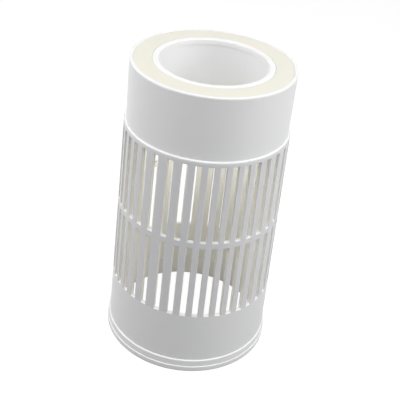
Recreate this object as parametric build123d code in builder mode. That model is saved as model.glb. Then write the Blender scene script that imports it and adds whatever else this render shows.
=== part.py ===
from build123d import *
import math
import os

os.makedirs("parts", exist_ok=True)

# Table-top air purifier: an open slotted intake cage on a base ring, with a fan head on top.
# The origin is the centre of the footprint, +Z is up and +Y is the rear. Sizes in millimetres.

# Clearances
slip_fit = 0.15
free_gap = 0.35
shaft_play = 0.05
screw_play = 0.1

# Base ring
base_height = 9.0
foot_height = 4.0
foot_reach = 1.6
foot_edge = 0.6
foot_round = 0.5
flange_reach = 1.0
flange_round = 0.8
tongue_height = 6.0
tongue_wall = 1.4

# Cage
rim_height = 160.0
cage_base_radius = 54.6
cage_draft = 0.967
cage_wall = 2.8
skirt_height = 37.1
mid_band = 4.2
rim_band = 3.3
rim_round = 1.3
sector_count = 4
sector_slots = 10
slot_width = 3.75

# Collar of the head
head_height = 40.0
rim_ledge = 1.35
collar_wall = 2.4
collar_round = 1.0
rim_edge_round = 0.2
spigot_depth = 3.0
spigot_wall = 2.0
seat_band = 2.0
seat_width = 1.4
rim_width = 2.1

# Outlet and top ring
light_ring_width = 11.1
outlet_ring_width = 4.0
outlet_lip = 3.5
outlet_round = 0.8
light_ring_drop = 0.15
light_ring_round = 0.3
duct_step = 0.55
duct_wall = 1.5
duct_flange_width = 2.2
duct_flange_height = 1.5

# Deck under the head
deck_lift = 1.0
deck_thickness = 2.5
deck_upstand = 1.2
deck_edge = 1.2
deck_screw_count = 3
deck_screw_angle = 30.0
deck_boss_radius = 2.9
deck_boss_height = 11.5
deck_rib = 2.0
gasket_height = 2.0

# Screws
screw_radius = 1.0
screw_head_radius = 2.0
screw_head_height = 1.4
screw_bite = 6.0

# Fan
fan_depth = 14.4
fan_drop = 8.4
frame_wall = 1.6
frame_bell = 0.8
tip_gap = 0.6
ear_radius = 3.4
ear_height = 4.0
fan_screw_count = 4
fan_screw_angle = 45.0
fan_boss_radius = 2.2
strut_count = 5
strut_width = 2.6
strut_height = 2.6
motor_base_height = 1.8
blade_count = 7
blade_thickness = 1.1
blade_camber = 1.0
root_pitch = 45.0
tip_pitch = 25.0
run_gap = 0.6

# Fan motor
hub_radius = 15.2
hub_wall = 1.1
hub_floor = 1.0
cup_wall = 0.8
magnet_wall = 1.25
air_gap = 0.55
shaft_radius = 1.0
bearing_radius = 3.0
bearing_height = 2.5
bearing_tube_wall = 1.3
stack_height = 5.0
stator_hub_wall = 1.8
pole_count = 4
pole_width = 2.6
pole_shoe = 1.4
pole_arc = 60.0
coil_build = 1.3
coil_overhang = 0.8
coil_gap = 0.5
motor_board_height = 1.0
clip_height = 0.3
clip_reach = 1.2

# Finger guards
guard_height = 1.6
guard_bar = 1.4
guard_ring_count = 3
guard_hub_radius = 9.0
guard_spoke_count = 6

# Boards and controls
board_thickness = 1.6
led_board_drop = 10.5
led_board_margin = 2.2
led_shelf_width = 1.75
led_shelf_height = 2.0
led_count = 12
led_length = 3.5
led_width = 2.8
led_height = 1.2
control_lift = 14.0
control_width = 31.0
control_height = 15.0
control_inset = 7.0
pad_depth = 4.3
pad_height = 14.0
post_length = 4.6
post_radius = 1.8
post_inset = 2.5
inlet_width = 8.9
inlet_height = 3.2
inlet_shell = 0.35
inlet_depth = 6.0
inlet_tongue_width = 6.6
inlet_tongue_height = 0.7
inlet_setback = 1.2
switch_size = 6.0
switch_round = 0.4
plunger_radius = 1.6
plunger_height = 0.4
button_radius = 3.5
button_flange = 0.6
button_flange_height = 1.0
button_proud = 0.6
button_round = 0.5
button_travel = 0.6

# Heights worked out from the sizes above
total_height = rim_height + head_height
slot_height = (rim_height - base_height - skirt_height - mid_band - rim_band) / 2
lower_row = base_height + skirt_height
upper_row = lower_row + slot_height + mid_band
lap_top = base_height + tongue_height
spigot_bottom = rim_height - spigot_depth
deck_bottom = rim_height + deck_lift
deck_top = deck_bottom + deck_thickness
seat_height = total_height - outlet_lip
frame_bottom = deck_bottom - fan_drop
frame_top = frame_bottom + fan_depth
ear_top = frame_bottom + ear_height
guard_bottom = frame_bottom - guard_height
control_height_mid = rim_height + control_lift
led_board_bottom = total_height - led_board_drop - board_thickness


def cage_radius(height):
    """Outer radius of the drafted cage at a height."""
    return cage_base_radius - (height - base_height) * math.tan(math.radians(cage_draft))


# Radii worked out from the sizes above
base_bore = cage_radius(lap_top) - cage_wall
tongue_radius = base_bore + tongue_wall
foot_radius = cage_base_radius + foot_reach
flange_radius = cage_base_radius + flange_reach
cage_top_bore = cage_radius(rim_height) - cage_wall
collar_radius = cage_radius(rim_height) - rim_ledge
collar_bore = collar_radius - collar_wall
spigot_radius = cage_top_bore - slip_fit
spigot_bore = spigot_radius - spigot_wall
deck_radius = spigot_bore - slip_fit
light_seat_radius = collar_radius - rim_width
light_ring_radius = light_seat_radius - slip_fit
light_ring_bore = light_ring_radius - light_ring_width
outlet_ring_radius = light_ring_bore - slip_fit
bore_radius = outlet_ring_radius - outlet_ring_width
duct_bore = bore_radius + duct_step
duct_radius = duct_bore + duct_wall
frame_radius = duct_bore - free_gap
frame_bore = frame_radius - frame_wall
tip_radius = frame_bore - tip_gap
deck_screw_circle = deck_radius - screw_head_radius - deck_edge
upstand_bore = duct_radius + slip_fit
fan_screw_circle = upstand_bore + deck_upstand / 3 + fan_boss_radius
pilot_radius = screw_radius + screw_play
motor_base_radius = hub_radius
pad_face = collar_radius - pad_depth
post_spread = control_width / 2 - post_inset
control_spacing = post_spread - control_inset


def ring_section(*corners):
    """Closed section in the XZ plane, from its corners as (radius, height)."""
    with BuildSketch(Plane.XZ) as section:
        with BuildLine():
            Polyline(*corners, close=True)
        make_face()
    return section.sketch


def band(inner, outer, bottom, top):
    """Rectangular ring section between two radii and two heights."""
    return ring_section((inner, bottom), (outer, bottom), (outer, top), (inner, top))


def screw(length):
    """Pan-head screw with its head below the XY plane and its shank upwards."""
    with BuildPart() as fastener:
        with BuildSketch(Plane.XZ) as section:
            with BuildLine():
                Polyline(
                    (0, -screw_head_height),
                    (screw_head_radius, -screw_head_height),
                    (screw_head_radius, 0),
                    (screw_radius, 0),
                    (screw_radius, length),
                    (0, length),
                    close=True,
                )
            make_face()
            fillet(section.vertices().sort_by(Axis.Y)[:2].sort_by(Axis.X)[-1], screw_head_height / 2)
        revolve(axis=Axis.Z)
    return fastener.part


def guard_sketch(outer, rim):
    """Flat finger guard: an outer rim, thin rings and straight spokes round a hub."""
    ring_step = (outer - rim - guard_hub_radius) / (guard_ring_count + 1)
    spoke_length = outer - rim / 2
    with BuildSketch() as guard:
        Circle(outer)
        Circle(outer - rim, mode=Mode.SUBTRACT)
        for index in range(1, guard_ring_count + 1):
            middle = guard_hub_radius + index * ring_step
            with BuildSketch(mode=Mode.PRIVATE) as thin_ring:
                Circle(middle + guard_bar / 2)
                Circle(middle - guard_bar / 2, mode=Mode.SUBTRACT)
            add(thin_ring.sketch_local)
        Circle(guard_hub_radius)
        with PolarLocations(spoke_length / 2, guard_spoke_count):
            Rectangle(spoke_length, guard_bar)
    return guard.sketch


# Base ring: stepped outside into a foot and a flange, with a tongue that laps inside the skirt
with BuildPart() as base_ring:
    with BuildSketch(Plane.XZ) as base_section:
        with BuildLine():
            Polyline(
                (base_bore, 0),
                (foot_radius - foot_edge, 0),
                (foot_radius, foot_edge),
                (foot_radius, foot_height),
                (flange_radius, foot_height),
                (flange_radius, base_height),
                (tongue_radius, base_height),
                (tongue_radius, lap_top),
                (base_bore, lap_top),
                close=True,
            )
        make_face()
        for corner, corner_round in (
            ((flange_radius, base_height), flange_round),
            ((foot_radius, foot_height), foot_round),
        ):
            fillet(base_section.vertices().sort_by_distance(corner)[0], corner_round)
    revolve(axis=Axis.Z)

# Cage: drafted shell, rebated at the foot for the tongue. Its two rows of upright slots are laid out by
# quarters: the slots of a quarter are evenly spaced as seen straight on, so the bars widen at its ends.
with BuildPart() as cage:
    rebate_radius = tongue_radius + slip_fit
    rebate_top = lap_top + slip_fit
    revolve(
        ring_section(
            (rebate_radius, base_height),
            (cage_radius(base_height), base_height),
            (cage_radius(rim_height), rim_height),
            (cage_top_bore, rim_height),
            (cage_radius(rebate_top) - cage_wall, rebate_top),
            (rebate_radius, rebate_top),
        ),
        axis=Axis.Z,
    )
    rim_face = cage.faces().sort_by(Axis.Z)[-1]
    fillet(rim_face.edges().sort_by(SortBy.LENGTH)[-1], rim_round)
    slot_reach = 3 * cage_wall
    sector_chord = 2 * math.sin(math.pi / sector_count)
    for row_bottom in (lower_row, upper_row):
        row_radius = cage_radius(row_bottom + slot_height / 2) - cage_wall / 2
        with BuildSketch(Plane.XY.offset(row_bottom)):
            for index in range(sector_slots):
                offset = ((index + 0.5) / sector_slots - 0.5) * sector_chord
                turn = math.degrees(math.asin(offset))
                with PolarLocations(row_radius, sector_count, start_angle=turn):
                    Rectangle(slot_reach, slot_width)
        extrude(amount=slot_height, mode=Mode.SUBTRACT)

# Collar: plain wall on the rim of the cage, with a spigot inside it, a seat for the top ring,
# bosses for the deck and a flat rear pad for the socket and the button
with BuildPart() as collar:
    with BuildSketch(Plane.XZ) as collar_section:
        seat_bore = collar_bore - seat_width
        with BuildLine():
            Polyline(
                (spigot_bore, spigot_bottom),
                (spigot_radius, spigot_bottom),
                (spigot_radius, rim_height),
                (collar_radius, rim_height),
                (collar_radius, total_height),
                (light_seat_radius, total_height),
                (light_seat_radius, seat_height),
                (seat_bore, seat_height),
                (seat_bore, seat_height - seat_band),
                (collar_bore, seat_height - seat_band - seat_width),
                (collar_bore, deck_top),
                (spigot_bore, deck_top - spigot_wall / 2),
                close=True,
            )
        make_face()
        fillet(collar_section.vertices().group_by(Axis.Y)[-1].sort_by(Axis.X)[-1], collar_round)
        fillet(collar_section.vertices().group_by(Axis.Y)[-1].sort_by(Axis.X)[0], rim_edge_round)
    revolve(axis=Axis.Z)
    with BuildSketch(Plane.XY.offset(deck_top)):
        with PolarLocations(deck_screw_circle, deck_screw_count, start_angle=deck_screw_angle):
            Circle(deck_boss_radius)
        rib_length = collar_bore + collar_wall / 2 - deck_screw_circle
        rib_middle = deck_screw_circle + rib_length / 2
        with PolarLocations(rib_middle, deck_screw_count, start_angle=deck_screw_angle):
            Rectangle(rib_length, deck_rib)
        with PolarLocations(deck_screw_circle, deck_screw_count, start_angle=deck_screw_angle):
            Circle(pilot_radius, mode=Mode.SUBTRACT)
    extrude(amount=deck_boss_height)
    with BuildSketch(Plane.XY.offset(control_height_mid - pad_height / 2)):
        Circle(collar_bore + collar_wall / 2)
        with Locations((0, pad_face + collar_radius)):
            Rectangle(control_width, 2 * collar_radius, mode=Mode.INTERSECT)
    extrude(amount=pad_height)
    with BuildSketch(Plane.XZ.offset(-pad_face)):
        with Locations((-post_spread, control_height_mid), (post_spread, control_height_mid)):
            Circle(post_radius)
            Circle(pilot_radius, mode=Mode.SUBTRACT)
    extrude(amount=post_length)
    with BuildSketch(Plane.XZ.offset(-pad_face)):
        with Locations((-control_spacing, control_height_mid)):
            SlotOverall(inlet_width + 2 * free_gap, inlet_height + 2 * free_gap)
        with Locations((control_spacing, control_height_mid)):
            Circle(button_radius + slip_fit)
    extrude(amount=-collar_radius, mode=Mode.SUBTRACT)

# Gasket under the spigot, where the head of a filter seals
with BuildPart() as filter_gasket:
    revolve(
        band(spigot_bore, spigot_radius, spigot_bottom - gasket_height, spigot_bottom),
        axis=Axis.Z,
    )

# Cream ring, set a little below the rim
with BuildPart() as light_ring:
    with BuildSketch(Plane.XZ) as light_section:
        light_ring_top = total_height - light_ring_drop
        with BuildLine():
            Polyline(
                (light_ring_bore, seat_height),
                (light_ring_radius, seat_height),
                (light_ring_radius, light_ring_top),
                (light_ring_bore, light_ring_top),
                close=True,
            )
        make_face()
        fillet(light_section.vertices().group_by(Axis.Y)[-1], light_ring_round)
    revolve(axis=Axis.Z)

# White ring round the outlet, with a lip that overhangs the duct
with BuildPart() as outlet_ring:
    with BuildSketch(Plane.XZ) as outlet_section:
        with BuildLine():
            Polyline(
                (bore_radius, seat_height),
                (outlet_ring_radius, seat_height),
                (outlet_ring_radius, total_height),
                (bore_radius, total_height),
                close=True,
            )
        make_face()
        fillet(outlet_section.vertices().group_by(Axis.Y)[-1], outlet_round)
    revolve(axis=Axis.Z)

# Duct from the deck to the top, with a flange for the rings and a shelf for the ring board
with BuildPart() as outlet_duct:
    flange_edge = outlet_ring_radius + duct_flange_width
    shelf_edge = duct_radius + led_shelf_width
    revolve(
        ring_section(
            (duct_bore, deck_top),
            (duct_radius, deck_top),
            (duct_radius, led_board_bottom - led_shelf_height),
            (shelf_edge, led_board_bottom - led_shelf_height),
            (shelf_edge, led_board_bottom),
            (duct_radius, led_board_bottom),
            (duct_radius, seat_height - duct_flange_height),
            (flange_edge, seat_height - duct_flange_height),
            (flange_edge, seat_height),
            (duct_bore, seat_height),
        ),
        axis=Axis.Z,
    )

# Deck: floor of the head, with a locating ring for the duct and bosses for the fan screws
with BuildPart() as fan_deck:
    with BuildSketch(Plane.XY.offset(deck_bottom)):
        Circle(deck_radius)
        Circle(duct_bore, mode=Mode.SUBTRACT)
        with PolarLocations(deck_screw_circle, deck_screw_count, start_angle=deck_screw_angle):
            Circle(pilot_radius, mode=Mode.SUBTRACT)
    extrude(amount=deck_thickness)
    with BuildSketch(Plane.XY.offset(deck_top)):
        Circle(upstand_bore + deck_upstand)
        with PolarLocations(fan_screw_circle, fan_screw_count, start_angle=fan_screw_angle):
            Circle(fan_boss_radius)
        Circle(upstand_bore, mode=Mode.SUBTRACT)
    extrude(amount=screw_bite)
    with BuildSketch(Plane.XY.offset(deck_bottom)):
        with PolarLocations(fan_screw_circle, fan_screw_count, start_angle=fan_screw_angle):
            Circle(pilot_radius)
    extrude(amount=screw_bite, mode=Mode.SUBTRACT)

with BuildPart() as deck_screws:
    with Locations((0, 0, deck_bottom)):
        with PolarLocations(deck_screw_circle, deck_screw_count, start_angle=deck_screw_angle):
            add(screw(deck_thickness + screw_bite))

# Fan frame: shroud ring, mounting ears, struts, motor base and bearing tube
bearing_tube_bore = bearing_radius + shaft_play
bearing_tube_radius = bearing_tube_bore + bearing_tube_wall
motor_base_bottom = frame_top - motor_base_height
hub_bottom = frame_bottom + run_gap
cup_bottom = hub_bottom + hub_floor
cup_floor_top = cup_bottom + cup_wall
tube_bottom = cup_floor_top + run_gap
rotor_top = frame_top - strut_height - run_gap

with BuildPart() as fan_frame:
    revolve(
        ring_section(
            (frame_bore + frame_bell, frame_bottom),
            (frame_radius, frame_bottom),
            (frame_radius, frame_top),
            (frame_bore, frame_top),
            (frame_bore, frame_bottom + 2 * frame_bell),
        ),
        axis=Axis.Z,
    )
    with BuildSketch(Plane.XY.offset(frame_bottom)):
        web_length = fan_screw_circle - frame_bore
        with PolarLocations(fan_screw_circle, fan_screw_count, start_angle=fan_screw_angle):
            Circle(ear_radius)
        web_middle = fan_screw_circle - web_length / 2
        with PolarLocations(web_middle, fan_screw_count, start_angle=fan_screw_angle):
            Rectangle(web_length, 2 * ear_radius)
        Circle(frame_radius - frame_wall / 2, mode=Mode.SUBTRACT)
        with PolarLocations(fan_screw_circle, fan_screw_count, start_angle=fan_screw_angle):
            Circle(pilot_radius, mode=Mode.SUBTRACT)
    extrude(amount=ear_height)
    with BuildSketch(Plane.XY.offset(frame_top - strut_height)):
        strut_length = frame_bore + frame_wall / 2 - motor_base_radius / 2
        strut_middle = motor_base_radius / 2 + strut_length / 2
        with PolarLocations(strut_middle, strut_count, start_angle=90):
            Rectangle(strut_length, strut_width)
        Circle(motor_base_radius - bearing_tube_wall, mode=Mode.SUBTRACT)
    extrude(amount=strut_height)
    with BuildSketch(Plane.XY.offset(motor_base_bottom)):
        Circle(motor_base_radius)
    extrude(amount=motor_base_height)
    revolve(
        band(bearing_tube_bore, bearing_tube_radius, tube_bottom, motor_base_bottom),
        axis=Axis.Z,
    )

# Rubber sleeves between the ears of the fan and the deck
with BuildPart() as fan_mounts:
    with BuildSketch(Plane.XY.offset(ear_top)):
        with PolarLocations(fan_screw_circle, fan_screw_count, start_angle=fan_screw_angle):
            Circle(ear_radius - free_gap)
            Circle(pilot_radius, mode=Mode.SUBTRACT)
    extrude(amount=deck_bottom - ear_top)

with BuildPart() as fan_screws:
    with Locations((0, 0, guard_bottom)):
        with PolarLocations(fan_screw_circle, fan_screw_count, start_angle=fan_screw_angle):
            add(screw(deck_bottom - guard_bottom + screw_bite - screw_play))

# Finger guard under the fan, with ears on the fan screws
with BuildPart() as inlet_guard:
    with BuildSketch(Plane.XY.offset(guard_bottom)):
        add(guard_sketch(frame_radius, frame_wall + frame_bell))
        ear_web = fan_screw_circle - frame_radius + frame_wall
        with PolarLocations(fan_screw_circle, fan_screw_count, start_angle=fan_screw_angle):
            Circle(ear_radius)
        with PolarLocations(fan_screw_circle - ear_web / 2, fan_screw_count, start_angle=fan_screw_angle):
            Rectangle(ear_web, 2 * ear_radius)
        with PolarLocations(fan_screw_circle, fan_screw_count, start_angle=fan_screw_angle):
            Circle(pilot_radius, mode=Mode.SUBTRACT)
    extrude(amount=guard_height)

# Finger guard over the fan, seated on the frame inside the duct
with BuildPart() as outlet_guard:
    with BuildSketch(Plane.XY.offset(frame_top)):
        add(guard_sketch(frame_radius, frame_wall))
    extrude(amount=guard_height)

# Impeller: hub cup with twisted, cambered blades


def blade_section(reach, pitch):
    """Cambered blade section on an upright plane at a distance from the axis."""
    rise = rotor_top - hub_bottom - run_gap
    chord = rise / math.sin(math.radians(pitch))
    middle = (rotor_top + hub_bottom) / 2
    half = blade_thickness / 2
    upright = Plane(origin=(reach, 0, middle), x_dir=(0, 1, 0), z_dir=(1, 0, 0))
    with BuildSketch(upright) as section:
        with BuildLine(mode=Mode.PRIVATE) as outline:
            upper = ThreePointArc((-chord / 2, half), (0, blade_camber + half), (chord / 2, half))
            lower = ThreePointArc((-chord / 2, -half), (0, blade_camber - half), (chord / 2, -half))
            Line(upper @ 0, lower @ 0)
            Line(upper @ 1, lower @ 1)
        with Locations(Rotation(0, 0, pitch)):
            add(make_face(outline.edges(), mode=Mode.PRIVATE))
    return section.sketch


with BuildPart() as blade:
    loft([blade_section(hub_radius / 2, root_pitch), blade_section(tip_radius + hub_radius / 2, tip_pitch)])
    with BuildSketch(Plane.XY.offset(hub_bottom + run_gap / 2)):
        Circle(tip_radius)
        Circle(hub_radius - hub_wall / 2, mode=Mode.SUBTRACT)
    extrude(amount=rotor_top - hub_bottom - run_gap, mode=Mode.INTERSECT)

with BuildPart() as impeller:
    revolve(
        ring_section(
            (0, hub_bottom),
            (hub_radius - hub_wall, hub_bottom),
            (hub_radius, hub_bottom + hub_wall),
            (hub_radius, rotor_top),
            (hub_radius - hub_wall, rotor_top),
            (hub_radius - hub_wall, cup_bottom),
            (shaft_radius, cup_bottom),
            (shaft_radius, cup_bottom - hub_floor / 2),
            (0, cup_bottom - hub_floor / 2),
        ),
        axis=Axis.Z,
    )
    with PolarLocations(0, blade_count):
        add(blade.part)

# Steel cup in the hub, with the magnet ring inside it
cup_radius = hub_radius - hub_wall - shaft_play
cup_bore = cup_radius - cup_wall
with BuildPart() as rotor_cup:
    revolve(
        ring_section(
            (shaft_radius, cup_bottom),
            (cup_radius, cup_bottom),
            (cup_radius, rotor_top),
            (cup_bore, rotor_top),
            (cup_bore, cup_floor_top),
            (shaft_radius, cup_floor_top),
        ),
        axis=Axis.Z,
    )

magnet_radius = cup_bore - shaft_play
magnet_bore = magnet_radius - magnet_wall
with BuildPart() as magnet_ring:
    revolve(band(magnet_bore, magnet_radius, cup_floor_top, rotor_top - run_gap), axis=Axis.Z)

# Bearings in the tube, and the shaft with its clip
upper_bearing_top = motor_base_bottom - run_gap - clip_height
with BuildPart() as lower_bearing:
    revolve(
        band(shaft_radius + shaft_play, bearing_radius, tube_bottom, tube_bottom + bearing_height),
        axis=Axis.Z,
    )

with BuildPart() as upper_bearing:
    upper_bearing_bottom = upper_bearing_top - bearing_height
    revolve(
        band(shaft_radius + shaft_play, bearing_radius, upper_bearing_bottom, upper_bearing_top),
        axis=Axis.Z,
    )

clip_bottom = upper_bearing_top + shaft_play
clip_top = clip_bottom + clip_height
neck_radius = shaft_radius - clip_height
with BuildPart() as fan_shaft:
    shaft_top = clip_top + clip_height / 2
    revolve(
        ring_section(
            (0, cup_bottom - hub_floor / 2),
            (shaft_radius, cup_bottom - hub_floor / 2),
            (shaft_radius, clip_bottom),
            (neck_radius, clip_bottom),
            (neck_radius, clip_top),
            (shaft_radius, clip_top),
            (shaft_radius, shaft_top),
            (0, shaft_top),
        ),
        axis=Axis.Z,
    )

with BuildPart() as shaft_clip:
    revolve(band(neck_radius, shaft_radius + clip_reach, clip_bottom, clip_top), axis=Axis.Z)

# Stator on the bearing tube: laminated poles with a coil on each
stator_radius = magnet_bore - air_gap
stator_bore = bearing_tube_radius + shaft_play
stator_hub_radius = stator_bore + stator_hub_wall
shoe_bore = stator_radius - pole_shoe
motor_board_bottom = motor_base_bottom - motor_board_height
stack_bottom = motor_board_bottom - coil_gap - coil_overhang - stack_height
with BuildPart() as stator_core:
    with BuildSketch(Plane.XY.offset(stack_bottom)):
        with PolarLocations(0, pole_count):
            with BuildSketch(mode=Mode.PRIVATE) as shoe:
                Circle(stator_radius)
                Circle(shoe_bore, mode=Mode.SUBTRACT)
                with BuildLine():
                    half_arc = math.radians(pole_arc / 2)
                    far = 2 * stator_radius
                    edge = (far * math.cos(half_arc), far * math.sin(half_arc))
                    Polyline((0, 0), edge, (edge[0], -edge[1]), close=True)
                make_face(mode=Mode.INTERSECT)
            add(shoe.sketch_local)
        with PolarLocations((stator_bore + stator_radius) / 2, pole_count):
            Rectangle(stator_radius - stator_bore - pole_shoe / 2, pole_width)
        Circle(stator_hub_radius)
        Circle(stator_bore, mode=Mode.SUBTRACT)
    extrude(amount=stack_height)

with BuildPart() as windings:
    coil_width = pole_width + 2 * coil_build
    coil_inner = stator_hub_radius + shaft_play
    coil_length = math.sqrt(shoe_bore**2 - coil_width**2 / 4) - shaft_play - coil_inner
    with Locations((0, 0, stack_bottom + stack_height / 2)):
        with PolarLocations(coil_inner + coil_length / 2, pole_count):
            Box(coil_length, coil_width, stack_height + 2 * coil_overhang)
            Box(
                coil_length,
                pole_width + 2 * shaft_play,
                stack_height + 2 * shaft_play,
                mode=Mode.SUBTRACT,
            )

with BuildPart() as motor_board:
    revolve(
        band(stator_bore, stator_radius, motor_board_bottom, motor_base_bottom),
        axis=Axis.Z,
    )

# Ring board on the shelf of the duct, with its lamps under the cream ring
led_board_top = led_board_bottom + board_thickness
led_board_radius = collar_bore - led_board_margin
with BuildPart() as led_board:
    revolve(
        band(duct_radius + slip_fit, led_board_radius, led_board_bottom, led_board_top),
        axis=Axis.Z,
    )

with BuildPart() as leds:
    with BuildSketch(Plane.XY.offset(led_board_top)):
        with PolarLocations((duct_radius + led_board_radius) / 2, led_count):
            Rectangle(led_width, led_length)
    extrude(amount=led_height)

# Control board on two posts behind the rear pad
board_face = pad_face - post_length
board_back = board_face - board_thickness
with BuildPart() as control_board:
    with BuildSketch(Plane.XZ.offset(-board_face)):
        with Locations((0, control_height_mid)):
            RectangleRounded(control_width, control_height, post_radius)
        with Locations((-post_spread, control_height_mid), (post_spread, control_height_mid)):
            Circle(pilot_radius, mode=Mode.SUBTRACT)
    extrude(amount=board_thickness)

with BuildPart() as board_screws:
    with Locations(Plane.XZ.offset(-board_back)):
        with Locations((-post_spread, control_height_mid), (post_spread, control_height_mid)):
            with Locations(Rotation(180, 0, 0)):
                add(screw(board_thickness + post_length - 2 * free_gap))

# Low-voltage socket through the rear wall
with BuildPart() as power_inlet:
    inlet_front = collar_radius - inlet_setback
    with BuildSketch(Plane.XZ.offset(-board_face)):
        with Locations((-control_spacing, control_height_mid)):
            SlotOverall(inlet_width, inlet_height)
    extrude(amount=-(inlet_front - board_face))
    with BuildSketch(Plane.XZ.offset(-inlet_front)):
        with Locations((-control_spacing, control_height_mid)):
            SlotOverall(inlet_width - 2 * inlet_shell, inlet_height - 2 * inlet_shell)
            Rectangle(inlet_tongue_width, inlet_tongue_height, mode=Mode.SUBTRACT)
    extrude(amount=inlet_depth, mode=Mode.SUBTRACT)

# Push switch on the board, and the button in the rear wall that presses it
flange_face = pad_face - slip_fit
flange_back = flange_face - button_flange_height
plunger_tip = flange_back - button_travel - screw_play
with BuildPart() as tact_switch:
    with BuildSketch(Plane.XZ.offset(-board_face)):
        with Locations((control_spacing, control_height_mid)):
            RectangleRounded(switch_size, switch_size, switch_round)
    extrude(amount=-(plunger_tip - plunger_height - board_face))
    with BuildSketch(Plane.XZ.offset(-board_face)):
        with Locations((control_spacing, control_height_mid)):
            Circle(plunger_radius)
    extrude(amount=-(plunger_tip - board_face))

with BuildPart() as power_button:
    wall_face = math.sqrt(collar_radius**2 - control_spacing**2)
    with BuildSketch(Plane.XZ.offset(-flange_back)):
        with Locations((control_spacing, control_height_mid)):
            Circle(button_radius + button_flange)
    extrude(amount=-button_flange_height)
    with BuildSketch(Plane.XZ.offset(-flange_face)):
        with Locations((control_spacing, control_height_mid)):
            Circle(button_radius)
    extrude(amount=-(wall_face + button_proud - flange_face))
    fillet(power_button.faces().sort_by(Axis.Y)[-1].edges(), button_round)

pieces = {
    "base_ring": base_ring,
    "cage": cage,
    "collar": collar,
    "filter_gasket": filter_gasket,
    "light_ring": light_ring,
    "outlet_ring": outlet_ring,
    "outlet_duct": outlet_duct,
    "fan_deck": fan_deck,
    "deck_screws": deck_screws,
    "fan_frame": fan_frame,
    "fan_mounts": fan_mounts,
    "fan_screws": fan_screws,
    "inlet_guard": inlet_guard,
    "outlet_guard": outlet_guard,
    "impeller": impeller,
    "rotor_cup": rotor_cup,
    "magnet_ring": magnet_ring,
    "fan_shaft": fan_shaft,
    "shaft_clip": shaft_clip,
    "upper_bearing": upper_bearing,
    "lower_bearing": lower_bearing,
    "stator_core": stator_core,
    "windings": windings,
    "motor_board": motor_board,
    "led_board": led_board,
    "leds": leds,
    "control_board": control_board,
    "board_screws": board_screws,
    "power_inlet": power_inlet,
    "tact_switch": tact_switch,
    "power_button": power_button,
}
for name, piece in pieces.items():
    piece.part.label = name
    export_step(piece.part, f"parts/{name}.step")
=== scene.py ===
import math

import bmesh
import bpy
from mathutils import Matrix, Quaternion, Vector


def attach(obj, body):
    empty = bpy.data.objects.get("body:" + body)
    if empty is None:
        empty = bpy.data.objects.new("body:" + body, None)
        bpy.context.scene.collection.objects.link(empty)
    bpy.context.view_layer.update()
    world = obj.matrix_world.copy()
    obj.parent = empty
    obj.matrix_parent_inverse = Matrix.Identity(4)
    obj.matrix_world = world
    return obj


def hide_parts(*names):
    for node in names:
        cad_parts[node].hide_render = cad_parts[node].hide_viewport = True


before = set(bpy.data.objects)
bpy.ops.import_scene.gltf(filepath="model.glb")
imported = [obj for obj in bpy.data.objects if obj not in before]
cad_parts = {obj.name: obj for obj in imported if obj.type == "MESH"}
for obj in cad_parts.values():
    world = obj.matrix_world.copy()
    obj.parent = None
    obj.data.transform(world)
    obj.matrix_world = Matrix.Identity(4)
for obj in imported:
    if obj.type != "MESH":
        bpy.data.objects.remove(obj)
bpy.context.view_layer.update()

# Finished surfaces, light and camera for the table-top air purifier. Sizes are in metres, +Z is up
# and +Y is the rear.

MM = 0.001

# Sizes of the shells, as in the solids
total_height = 200.0 * MM
slip_fit = 0.15 * MM
base_height = 9.0 * MM
foot_height = 4.0 * MM
foot_radius = 56.2 * MM
flange_radius = 55.6 * MM
tongue_height = 6.0 * MM
tongue_wall = 1.4 * MM
cage_base_radius = 54.6 * MM
cage_draft = math.radians(0.967)
cage_wall = 2.8 * MM
rim_height = 160.0 * MM
lower_row = 46.1 * MM
slot_height = 53.2 * MM
slot_width = 3.75 * MM
mid_band = 4.2 * MM
sector_count = 4
sector_slots = 10
rim_ledge = 1.35 * MM
rim_width = 2.1 * MM
bore_radius = 33.2 * MM
outlet_ring_radius = 37.2 * MM
outlet_lip = 3.5 * MM
light_ring_drop = 0.15 * MM

# Seam round the light ring, closer than in the solids so that it doesn't show as a dark line
seam = 0.03 * MM

# Rounds
foot_edge = 0.6 * MM
foot_round = 0.5 * MM
foot_bore_round = 0.3 * MM
flange_round = 0.8 * MM
flange_corner = 0.1 * MM
rim_round = 1.3 * MM
slot_round = 0.35 * MM
light_ring_round = 0.1 * MM
outlet_ring_round = 0.8 * MM
hidden_round = 0.2 * MM

# Fineness of the meshes
turn_steps = 192
round_steps = 5
bar_steps = 3
slot_steps = 2
bevel_steps = 3
floor_steps = 96
crease_angle = math.radians(32)


def cage_radius(height):
    """Outer radius of the drafted cage at a height."""
    return cage_base_radius - (height - base_height) * math.tan(cage_draft)


# Heights and radii that several pieces share
lap_top = base_height + tongue_height
upper_row = lower_row + slot_height + mid_band
seat_height = total_height - outlet_lip
base_bore = cage_radius(lap_top) - cage_wall
tongue_radius = base_bore + tongue_wall
collar_radius = cage_radius(rim_height) - rim_ledge
light_seat_radius = collar_radius - rim_width


# Shader nodes


def set_inputs(tree, node, inputs):
    """Gives each input of a node a constant or the output of another node."""
    for name, value in inputs.items():
        socket = node.inputs[name]
        if isinstance(value, bpy.types.NodeSocket):
            tree.links.new(value, socket)
        else:
            socket.default_value = (*value, 1.0) if socket.type == "RGBA" else value


def add_node(tree, kind, inputs=None, **settings):
    """New shader node with its settings and inputs."""
    node = tree.nodes.new(kind)
    for setting, value in settings.items():
        setattr(node, setting, value)
    set_inputs(tree, node, inputs or {})
    return node


def empty_tree(owner):
    """Node tree of a material or world, with nothing in it."""
    owner.use_nodes = True
    owner.node_tree.nodes.clear()
    return owner.node_tree


def object_place(tree):
    """Place on the object, in its own coordinates."""
    return add_node(tree, "ShaderNodeTexCoord").outputs["Object"]


def split(tree, vector):
    """The X, Y and Z of a vector."""
    return add_node(tree, "ShaderNodeSeparateXYZ", {"Vector": vector}).outputs


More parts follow.
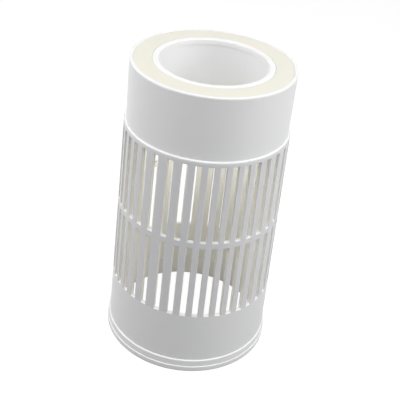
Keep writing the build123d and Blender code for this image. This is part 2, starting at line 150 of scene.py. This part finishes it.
def noise(tree, scale, detail):
    """Noise over the object, with a scale in features a metre."""
    inputs = {"Vector": object_place(tree), "Scale": scale, "Detail": detail}
    return add_node(tree, "ShaderNodeTexNoise", inputs).outputs["Fac"]


def ramp(tree, value, ends, results, shape):
    """Maps the stretch between two values to the stretch between two results."""
    inputs = {
        "Value": value,
        "From Min": ends[0],
        "From Max": ends[1],
        "To Min": results[0],
        "To Max": results[1],
    }
    span = add_node(tree, "ShaderNodeMapRange", inputs, interpolation_type=shape)
    return span.outputs["Result"]


def mixed(tree, factor, first, second):
    """Colour between two colours, each a triple or the output of another node."""
    inputs = {"Factor": factor, "A": first, "B": second}
    return add_node(tree, "ShaderNodeMix", inputs, data_type="RGBA").outputs["Result"]


# Materials

# The band of a noise texture's values that is used, and its detail for each purpose
noise_band = (0.3, 0.7)
cloud_detail = 3.0
gloss_detail = 4.0
grain_detail = 2.0
streak_detail = 5.0

# Clouds of colour in features a metre, the finer clouds of gloss, and the strength of the grain
shell_clouds = 22.0
gloss_ratio = 9
plastic_gloss_spread = 0.05
metal_gloss_spread = 0.08
grain_strength = 0.35

# Upward part of a face's normal, from a wall to a ledge, over which the painted light on faces
# that look up comes in
ledge_slope = (0.5, 0.9)


def grey(level):
    """Neutral colour."""
    return (level, level, level)


def spread(tree, value, low, high):
    """Maps a noise value to a range of numbers."""
    return ramp(tree, value, noise_band, (low, high), "LINEAR")


def inner_mask(tree):
    """1 on the inner face of the drafted shells and the slots' sides, and 0 on their outer face:
    where the warm light is painted.
    """
    x, y, z = split(tree, object_place(tree))
    flat = add_node(tree, "ShaderNodeCombineXYZ", {"X": x, "Y": y}).outputs["Vector"]
    reach = add_node(tree, "ShaderNodeVectorMath", {0: flat}, operation="LENGTH").outputs["Value"]
    undrafted = {0: z, 1: math.tan(cage_draft), 2: reach}
    radius = add_node(tree, "ShaderNodeMath", undrafted, operation="MULTIPLY_ADD").outputs["Value"]
    outer = cage_radius(0.0)
    ends = (outer - 2 * slot_round, outer - slot_round / 2)
    return ramp(tree, radius, ends, (1.0, 0.0), "SMOOTHSTEP")


def height_mask(tree, fade):
    """0 below the first of two depths under the top, and 1 above the second."""
    _, _, height = split(tree, object_place(tree))
    ends = [total_height - depth for depth in fade]
    return ramp(tree, height, ends, (0.0, 1.0), "SMOOTHSTEP")


def painted_light_upward_mask(tree):
    """1 on faces that look up and 0 on walls, for the painted light from above."""
    normal = add_node(tree, "ShaderNodeNewGeometry").outputs["Normal"]
    _, _, upward = split(tree, normal)
    return ramp(tree, upward, ledge_slope, (0.0, 1.0), "SMOOTHSTEP")


def new_material(name):
    """Material with a principled shader, and the tree and shader to fill in."""
    material = bpy.data.materials.new(name)
    tree = empty_tree(material)
    shader = add_node(tree, "ShaderNodeBsdfPrincipled")
    add_node(tree, "ShaderNodeOutputMaterial", {"Surface": shader.outputs["BSDF"]})
    return material, tree, shader


def moulded(
    name,
    light,
    dark,
    finish,
    clouds=shell_clouds,
    inside=None,
    top=None,
    ledge=None,
    subsurface=None,
):
    """Moulded plastic: soft colour drift, uneven gloss and a fine grain.

    finish is (roughness, grain in features a metre, depth of the grain). inside is the colour of
    the drafted shells' inner face and slot sides: a painted warm light, lighter than the outer
    face.
    top is (fade, colour) for a colour that comes in between two depths under the top; on the
    collar and the outlet ring it is a painted highlight. ledge is the colour of the faces that
    look
    up: a painted light from above. subsurface holds the shader's values for light under the
    surface.
    """
    material, tree, shader = new_material(name)
    roughness, grain, grain_depth = finish
    drift = spread(tree, noise(tree, clouds, cloud_detail), 0.0, 1.0)
    colour = mixed(tree, drift, light, dark)
    # The inner face and the slots' sides get a painted warm light, lighter than the outer face
    if inside:
        colour = mixed(tree, inner_mask(tree), colour, inside)
    # A band under the top: a painted highlight on the collar and the outlet ring, the mouth colour
    # on the duct
    if top:
        fade, top_colour = top
        colour = mixed(tree, height_mask(tree, fade), colour, top_colour)
    # Faces that look up get a painted light, near white
    if ledge:
        colour = mixed(tree, painted_light_upward_mask(tree), colour, ledge)
    gloss = noise(tree, clouds * gloss_ratio, gloss_detail)
    low, high = roughness - plastic_gloss_spread, roughness + plastic_gloss_spread
    grain_height = noise(tree, grain, grain_detail)
    bumps = {"Strength": grain_strength, "Distance": grain_depth, "Height": grain_height}
    surface = {
        "Base Color": colour,
        "Roughness": spread(tree, gloss, low, high),
        "Normal": add_node(tree, "ShaderNodeBump", bumps).outputs["Normal"],
    }
    set_inputs(tree, shader, surface | (subsurface or {}))
    return material


def metal(name, light, dark, roughness, streak_scale):
    """Drawn or plated metal with fine streaks."""
    material, tree, shader = new_material(name)
    streaks = noise(tree, streak_scale, streak_detail)
    low, high = roughness - metal_gloss_spread, roughness + metal_gloss_spread
    surface = {
        "Base Color": mixed(tree, streaks, light, dark),
        "Roughness": spread(tree, streaks, low, high),
        "Metallic": 1.0,
    }
    set_inputs(tree, shader, surface)
    return material


# Finishes of the shells: roughness, grain in features a metre and depth of the grain
cage_finish = (0.42, 3800.0, 0.08 * MM)
shell_finish = (0.40, 3800.0, 0.06 * MM)
ring_finish = (0.42, 5200.0, 0.01 * MM)
duct_finish = (0.45, 5200.0, 0.01 * MM)

# Colours that several shells share
shell_light = grey(0.80)
shell_dark = grey(0.775)
# Painted warm light on the shells' inner face and the slots' sides
inside_painted_warm_light = (0.93, 0.92, 0.86)
# Painted light on faces that look up and on the collar's rim
painted_light_white = grey(0.97)
# Painted highlight on the outlet ring's lip
lip_painted_highlight = grey(0.98)
duct_mouth = (0.81, 0.80, 0.81)

# Depths under the top between which a colour comes in: a painted highlight on the collar's rim
# and the outlet ring's lip, and the duct's own colour at its mouth
collar_highlight_fade = (0.4 * MM, 0.1 * MM)
ring_highlight_fade = (0.5 * MM, 0.1 * MM)
duct_fade = (30.0 * MM, 5.0 * MM)

# Light under the surface
cage_subsurface = {
    "Subsurface Weight": 0.3,
    "Subsurface Scale": 1.5 * MM,
    "Subsurface Radius": (1.0, 1.0, 1.0),
}
cream_subsurface = {"Subsurface Weight": 0.25, "Subsurface Scale": 2.0 * MM}

# The bars and bands above the skirt are painted darker than the skirt of the same moulding, as
# painted shade
bar_white_painted_shade = moulded(
    "bar_white_painted_shade",
    (0.705, 0.705, 0.717),
    (0.685, 0.685, 0.697),
    cage_finish,
    inside=inside_painted_warm_light,
    ledge=painted_light_white,
    subsurface=cage_subsurface,
)
skirt_white = moulded(
    "skirt_white",
    (0.775, 0.775, 0.783),
    (0.755, 0.755, 0.763),
    cage_finish,
    inside=inside_painted_warm_light,
    ledge=painted_light_white,
)
shell_white = moulded("shell_white", shell_light, shell_dark, shell_finish)
# The collar's rim gets a painted highlight in its top 0.4 mm
collar_white = moulded(
    "collar_white", shell_light, shell_dark, shell_finish, top=(collar_highlight_fade, painted_light_white)
)
base_white = moulded(
    "base_white", shell_light, shell_dark, shell_finish, inside=inside_painted_warm_light, ledge=painted_light_white
)
# The outlet ring's lip gets a painted highlight in its top 0.5 mm
ring_white = moulded(
    "ring_white", (0.82, 0.82, 0.81), (0.80, 0.80, 0.79), ring_finish, top=(ring_highlight_fade, lip_painted_highlight)
)
# The duct is painted lighter than the other shells below its mouth, as painted light where its
# walls lie in shade
duct_painted_light = moulded(
    "duct_painted_light",
    (0.89, 0.89, 0.875),
    (0.87, 0.87, 0.855),
    duct_finish,
    top=(duct_fade, duct_mouth),
)
button_white = moulded("button_white", grey(0.84), grey(0.82), ring_finish)
cream = moulded(
    "cream_diffuser",
    (0.875, 0.86, 0.76),
    (0.865, 0.84, 0.73),
    (0.34, 4200.0, 0.05 * MM),
    subsurface=cream_subsurface,
)

# Plastics inside: light and dark colour, finish and clouds of colour in features a metre
fan_grey = moulded(
    "fan_grey", (0.70, 0.71, 0.72), (0.66, 0.67, 0.68), (0.36, 3200.0, 0.06 * MM)
)
foam_grey = moulded(
    "foam_grey", (0.40, 0.40, 0.41), (0.30, 0.30, 0.31), (0.9, 1600.0, 0.3 * MM), 300.0
)
rubber_black = moulded(
    "rubber_black", (0.05, 0.05, 0.055), (0.035, 0.035, 0.04), (0.6, 2600.0, 0.1 * MM)
)
black_plastic = moulded(
    "black_plastic", (0.03, 0.03, 0.032), (0.02, 0.02, 0.022), (0.4, 3000.0, 0.05 * MM)
)
board_green = moulded(
    "board_green", (0.03, 0.17, 0.08), (0.02, 0.12, 0.06), (0.3, 2200.0, 0.04 * MM), 260.0
)
lens_yellow = moulded(
    "lens_yellow", (0.85, 0.76, 0.40), (0.80, 0.70, 0.32), (0.2, 2600.0, 0.02 * MM), 300.0
)
ferrite = moulded(
    "ferrite", (0.07, 0.07, 0.075), (0.05, 0.05, 0.055), (0.55, 3000.0, 0.08 * MM), 120.0
)

# Metals: light and dark colour, roughness and streaks in features a metre
zinc = metal("zinc", (0.66, 0.67, 0.68), (0.52, 0.53, 0.54), 0.32, 900.0)
steel = metal("steel", (0.60, 0.61, 0.62), (0.46, 0.47, 0.48), 0.3, 1400.0)
bronze = metal("bronze", (0.58, 0.38, 0.18), (0.44, 0.28, 0.12), 0.45, 1800.0)
copper = metal("copper", (0.66, 0.28, 0.12), (0.50, 0.18, 0.07), 0.3, 2600.0)


# Mesh tools


def rounded(corners):
    """Closed profile from (radius, height, round) corners, with an arc at each rounded one."""
    points = []
    for index, (radius, height, fillet) in enumerate(corners):
        here = Vector((radius, height))
        before = Vector(corners[index - 1][:2])
        after = Vector(corners[(index + 1) % len(corners)][:2])
        back = (before - here).normalized()
        ahead = (after - here).normalized()
        half = back.angle(ahead) / 2
        centre = here + (back + ahead).normalized() * fillet / math.sin(half)
        start = here + back * fillet / math.tan(half) - centre
        stop = here + ahead * fillet / math.tan(half) - centre
        first = math.atan2(start.y, start.x)
        sweep = (math.atan2(stop.y, stop.x) - first + math.pi) % (2 * math.pi) - math.pi
        for step in range(round_steps + 1):
            angle = first + sweep * step / round_steps
            points.append(centre + fillet * Vector((math.cos(angle), math.sin(angle))))
    return points


def turned(corners):
    """Closed ring mesh, from a profile turned about the upright axis."""
    profile = rounded(corners)
    mesh = bmesh.new()
    rings = []
    for step in range(turn_steps):
        angle = 2 * math.pi * step / turn_steps
        across = Vector((math.cos(angle), math.sin(angle), 0))
        places = [across * point.x + Vector((0, 0, point.y)) for point in profile]
        rings.append([mesh.verts.new(place) for place in places])
    for step in range(turn_steps):
        here, there = rings[step], rings[(step + 1) % turn_steps]
        for index in range(len(profile)):
            after = (index + 1) % len(profile)
            mesh.faces.new((here[index], there[index], there[after], here[after]))
    return mesh


def add_object(name, data):
    """New object in the scene."""
    thing = bpy.data.objects.new(name, data)
    bpy.context.scene.collection.objects.link(thing)
    return thing


def piece(name, mesh, material, node):
    """Finished object from a mesh: shaded, painted, riding on the housing in place of its node."""
    bmesh.ops.recalc_face_normals(mesh, faces=mesh.faces)
    data = bpy.data.meshes.new(name)
    mesh.to_mesh(data)
    mesh.free()
    data.shade_smooth()
    data.set_sharp_from_angle(angle=crease_angle)
    data.materials.append(material)
    thing = add_object(name, data)
    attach(thing, "housing")
    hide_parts(node)
    return thing


def soften(thing, width):
    """Small round along every sharp edge."""
    bevel = thing.modifiers.new("edge_round", "BEVEL")
    bevel.width = width
    bevel.segments = bevel_steps
    bevel.limit_method = "ANGLE"
    bevel.angle_limit = crease_angle
    bevel.harden_normals = True


# Shells


def slot_angles():
    """Middle of each slot, sector by sector: evenly spaced as seen straight on to the sector."""
    chord = 2 * math.sin(math.pi / sector_count)
    angles = []
    for sector in range(sector_count):
        for index in range(sector_slots):
            offset = ((index + 0.5) / sector_slots - 0.5) * chord
            angles.append(2 * math.pi * sector / sector_count + math.asin(offset))
    return angles


def slotted_cage():
    """Drafted shell with two rows of upright slots, a rounded rim and a rebate at its foot."""
    mesh = bmesh.new()
    middles = slot_angles()
    steps = slot_steps + bar_steps

    def ring(radius, height):
        half_slot = math.asin(slot_width / 2 / radius)
        angles = []
        for index, middle in enumerate(middles):
            following = middles[(index + 1) % len(middles)]
            bar = (following - middle) % (2 * math.pi) - 2 * half_slot
            for step in range(slot_steps):
                angles.append(middle - half_slot + 2 * half_slot * step / slot_steps)
            for step in range(bar_steps):
                angles.append(middle + half_slot + bar * step / bar_steps)
        places = [(radius * math.cos(angle), radius * math.sin(angle), height) for angle in angles]
        return [mesh.verts.new(place) for place in places]

    def strip(low, high, keep):
        for index in range(len(low)):
            after = (index + 1) % len(low)
            if keep(index % steps):
                mesh.faces.new((low[index], low[after], high[after], high[index]))

    def whole(cell):
        return True

    def over_bar(cell):
        return cell >= slot_steps

    def over_slot(cell):
        return cell < slot_steps

    # The slots run from the first to the second level and from the third to the fourth. In both
    # faces of the shell, one ring lies below these.
    levels = [lower_row, lower_row + slot_height, upper_row, upper_row + slot_height]
    slotted = (1, 3)
    rebate_radius = tongue_radius + slip_fit
    rebate_top = lap_top + slip_fit
    outer = [ring(cage_radius(height), height) for height in (base_height, *levels)]
    inner_heights = (rebate_top, *levels, rim_height)
    inner = [ring(cage_radius(height) - cage_wall, height) for height in inner_heights]
    for step in range(round_steps + 1):
        angle = math.pi / 2 * step / round_steps
        inset = rim_round * (1 - math.cos(angle))
        drop = rim_round * (1 - math.sin(angle))
        outer.append(ring(cage_radius(rim_height) - inset, rim_height - drop))
    for shell in (outer, inner):
        for index in range(len(shell) - 1):
            strip(shell[index], shell[index + 1], over_bar if index in slotted else whole)

    # Sills and sides of the slots
    for index in slotted:
        for level in (index, index + 1):
            strip(outer[level], inner[level], over_slot)
        for corner in range(len(outer[0])):
            if corner % steps in (0, slot_steps):
                side = (outer[index][corner], outer[index + 1][corner])
                mesh.faces.new((*side, inner[index + 1][corner], inner[index][corner]))

    # Top of the rim, and the rebate that laps over the base ring
    foot = ring(rebate_radius, base_height)
    shoulder = ring(rebate_radius, rebate_top)
    strip(outer[-1], inner[-1], whole)
    for low, high in ((outer[0], foot), (foot, shoulder), (shoulder, inner[0])):
        strip(low, high, whole)
    return mesh


cage = piece("cage_shell", slotted_cage(), bar_white_painted_shade, "cage")
cage.data.materials.append(skirt_white)
# Faces below the lower row of slots take the skirt's colour, those above it the bars' painted
# shade
for face in cage.data.polygons:
    face.material_index = 1 if face.center.z < lower_row else 0
soften(cage, slot_round)

base_ring_profile = [
    (base_bore, 0.0, foot_bore_round),
    (foot_radius, 0.0, foot_edge),
    (foot_radius, foot_height, foot_round),
    (flange_radius, foot_height, flange_corner),
    (flange_radius, base_height, flange_round),
    (tongue_radius, base_height, hidden_round),
    (tongue_radius, lap_top, hidden_round),
    (base_bore, lap_top, hidden_round),
]
piece("base_ring_shell", turned(base_ring_profile), base_white, "base_ring")

light_ring_top = total_height - light_ring_drop
light_ring_profile = [
    (outlet_ring_radius + seam, seat_height, hidden_round),
    (light_seat_radius - seam, seat_height, hidden_round),
    (light_seat_radius - seam, light_ring_top, light_ring_round),
    (outlet_ring_radius + seam, light_ring_top, light_ring_round),
]
piece("light_ring_shell", turned(light_ring_profile), cream, "light_ring")

outlet_ring_profile = [
    (bore_radius, seat_height, hidden_round),
    (outlet_ring_radius, seat_height, hidden_round),
    (outlet_ring_radius, total_height, outlet_ring_round),
    (bore_radius, total_height, outlet_ring_round),
]
piece("outlet_ring_shell", turned(outlet_ring_profile), ring_white, "outlet_ring")

# Solids that keep their own meshes
paint = {
    "collar": collar_white,
    "outlet_duct": duct_painted_light,
    "fan_deck": shell_white,
    "inlet_guard": shell_white,
    "outlet_guard": shell_white,
    "power_button": button_white,
    "filter_gasket": foam_grey,
    "fan_mounts": rubber_black,
    "tact_switch": black_plastic,
    "fan_frame": fan_grey,
    "impeller": fan_grey,
    "deck_screws": zinc,
    "fan_screws": zinc,
    "board_screws": zinc,
    "rotor_cup": steel,
    "fan_shaft": steel,
    "shaft_clip": steel,
    "stator_core": steel,
    "power_inlet": steel,
    "magnet_ring": ferrite,
    "upper_bearing": bronze,
    "lower_bearing": bronze,
    "windings": copper,
    "motor_board": board_green,
    "led_board": board_green,
    "control_board": board_green,
    "leds": lens_yellow,
}
for node, material in paint.items():
    for material_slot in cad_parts[node].material_slots:
        material_slot.material = material


# Floor, light and camera

# The floor lies just under the object, so that the two faces don't coincide
floor_reach = 4.0
floor_drop = 0.1 * MM
floor_glow = 0.88
floor_shade = 0.25
floor_bounce = 0.3
world_light = 0.23

white = grey(1.0)
soft_white = (1.0, 0.997, 0.993)
cool_white = (0.98, 0.99, 1.0)
warm_white = (1.0, 0.98, 0.93)

# Lamps: place as the camera sees it (to the right, away and up), side or radius, watts and colour
softboxes = {
    "front_softbox": ((0.0, -0.6, 1.15), 0.8, 5.2, soft_white),
    "left_softbox": ((-0.5, -0.05, 0.42), 0.35, 1.45, soft_white),
    "left_rear_softbox": ((-0.5, 0.25, 0.3), 0.35, 0.65, soft_white),
    "right_softbox": ((0.5, -0.05, 0.42), 0.35, 1.54, soft_white),
    "right_front_softbox": ((0.4, -0.55, 0.4), 0.35, 0.9, cool_white),
}
fill_lamps = {
    "cage_fill": ((0.0, 0.01, 0.112), 0.02, 0.032, warm_white),
    "outlet_fill": ((0.0, 0.0, 0.176), 0.015, 0.006, soft_white),
}

# Camera: lens and sensor in millimetres, and its aim to the right of and above the object's middle
camera_lens = 74.6
camera_sensor = 36.0
camera_turn = math.radians(-18.4)
camera_elevation = math.radians(32.74)
camera_distance = 0.5487
camera_roll = math.radians(6.54)
camera_aim = 0.9 * MM
camera_lift = 0.87 * MM

object_middle = Vector((0.0, 0.0, total_height / 2))


def from_view(across, depth, height):
    """Place given as the camera sees it: to the right, away from the camera, and up."""
    return Matrix.Rotation(camera_turn, 3, "Z") @ Vector((across, depth, height))


def by_viewer(tree, output, lighting, seen):
    """Output with one shader for light on surfaces, and one that the eye and reflections see."""
    path = add_node(tree, "ShaderNodeLightPath").outputs
    factor = path["Is Camera Ray"]
    for kind in ("Is Glossy Ray", "Is Transmission Ray"):
        either = add_node(tree, "ShaderNodeMath", {0: factor, 1: path[kind]}, operation="MAXIMUM")
        factor = either.outputs["Value"]
    choice = add_node(tree, "ShaderNodeMixShader", {"Fac": factor, 1: lighting, 2: seen})
    add_node(tree, output, {"Surface": choice.outputs["Shader"]})


def white_floor():
    """Floor that looks white and takes a faint shadow, and bounces a little light."""
    material = bpy.data.materials.new("studio_floor")
    tree = empty_tree(material)
    glow = add_node(tree, "ShaderNodeEmission", {"Color": white, "Strength": floor_glow})
    shade = add_node(tree, "ShaderNodeBsdfDiffuse", {"Color": grey(floor_shade)})
    bounce = add_node(tree, "ShaderNodeBsdfDiffuse", {"Color": grey(floor_bounce)})
    both = {0: glow.outputs["Emission"], 1: shade.outputs["BSDF"]}
    seen = add_node(tree, "ShaderNodeAddShader", both).outputs["Shader"]
    by_viewer(tree, "ShaderNodeOutputMaterial", bounce.outputs["BSDF"], seen)
    mesh = bmesh.new()
    bmesh.ops.create_circle(mesh, cap_ends=True, segments=floor_steps, radius=floor_reach)
    bmesh.ops.translate(mesh, verts=mesh.verts, vec=(0.0, 0.0, -floor_drop))
    data = bpy.data.meshes.new("studio_floor")
    mesh.to_mesh(data)
    mesh.free()
    data.materials.append(material)
    add_object("studio_floor", data)


def white_world():
    """Even fill light, with white wherever the eye sees past the floor."""
    world = bpy.data.worlds.new("studio")
    bpy.context.scene.world = world
    tree = empty_tree(world)
    fill = add_node(tree, "ShaderNodeBackground", {"Color": cool_white, "Strength": world_light})
    plain = add_node(tree, "ShaderNodeBackground", {"Color": white, "Strength": 1.0})
    shaders = [node.outputs["Background"] for node in (fill, plain)]
    by_viewer(tree, "ShaderNodeOutputWorld", *shaders)


def lamp(name, kind, place, power, colour):
    """Lamp that isn't mirrored in what it lights."""
    data = bpy.data.lights.new(name, kind)
    data.energy = power
    data.color = colour
    thing = add_object(name, data)
    thing.location = from_view(*place)
    thing.visible_glossy = False
    return thing


def softbox(name, place, side, power, colour):
    """Square area light that faces the middle of the object."""
    thing = lamp(name, "AREA", place, power, colour)
    thing.data.shape = "SQUARE"
    thing.data.size = side
    facing = object_middle - thing.location
    thing.rotation_euler = facing.to_track_quat("-Z", "Y").to_euler()


def fill_lamp(name, place, radius, power, colour):
    """Round lamp inside the object, which isn't seen itself."""
    thing = lamp(name, "POINT", place, power, colour)
    thing.data.shadow_soft_size = radius
    thing.visible_camera = False


def photo_camera():
    """Camera at the photograph's angle, rolled so that the object leans as it does there."""
    data = bpy.data.cameras.new("photo_camera")
    data.lens = camera_lens
    data.sensor_width = camera_sensor
    camera = add_object("photo_camera", data)
    away = camera_distance * math.cos(camera_elevation)
    up = camera_distance * math.sin(camera_elevation)
    camera.location = object_middle + from_view(0.0, -away, up)
    aim = object_middle + from_view(camera_aim, 0.0, camera_lift)
    look = (aim - camera.location).to_track_quat("-Z", "Y")
    camera.rotation_mode = "QUATERNION"
    camera.rotation_quaternion = look @ Quaternion((0.0, 0.0, 1.0), camera_roll)
    bpy.context.scene.camera = camera


white_floor()
white_world()
for name, settings in softboxes.items():
    softbox(name, *settings)
for name, settings in fill_lamps.items():
    fill_lamp(name, *settings)
photo_camera()
bpy.context.scene.view_settings.view_transform = "Standard"
